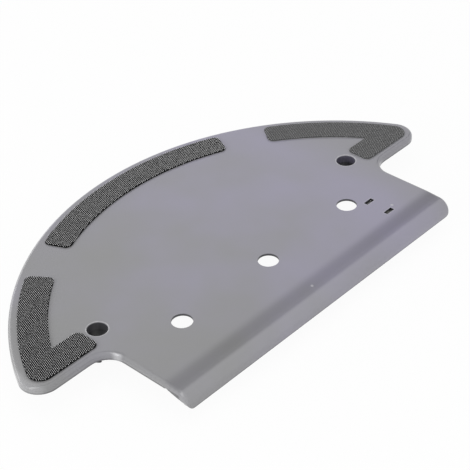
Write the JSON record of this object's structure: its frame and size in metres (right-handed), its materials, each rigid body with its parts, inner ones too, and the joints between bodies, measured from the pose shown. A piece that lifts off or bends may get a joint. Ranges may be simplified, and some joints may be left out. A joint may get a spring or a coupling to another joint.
{
  "type": "robot vacuum mop bracket",
  "caption": "Half-moon mop bracket for a robot vacuum: thin tray with a rounded rim, rolled front lip, hook tape pads, water holes and snap pegs",
  "frame": {"origin": "centre of the middle water hole, on the flat floor-facing side", "axes": "+Z out of the flat side, +Y towards the middle of the arc, +X towards the side with the two small windows"},
  "size_m": [0.3034, 0.1649, 0.0183],
  "materials": {
    "moulded_plastic": "satin moulded grey",
    "hook_tape": "woven hook tape",
    "plated_magnet": "nickel plated"
  },
  "bodies": {
    "root": {"base_plate": "moulded_plastic", "hook_pad_left": "hook_tape", "hook_pad_rear": "hook_tape", "hook_pad_right": "hook_tape", "sensor_magnet": "plated_magnet"}
  },
  "joints": []
}
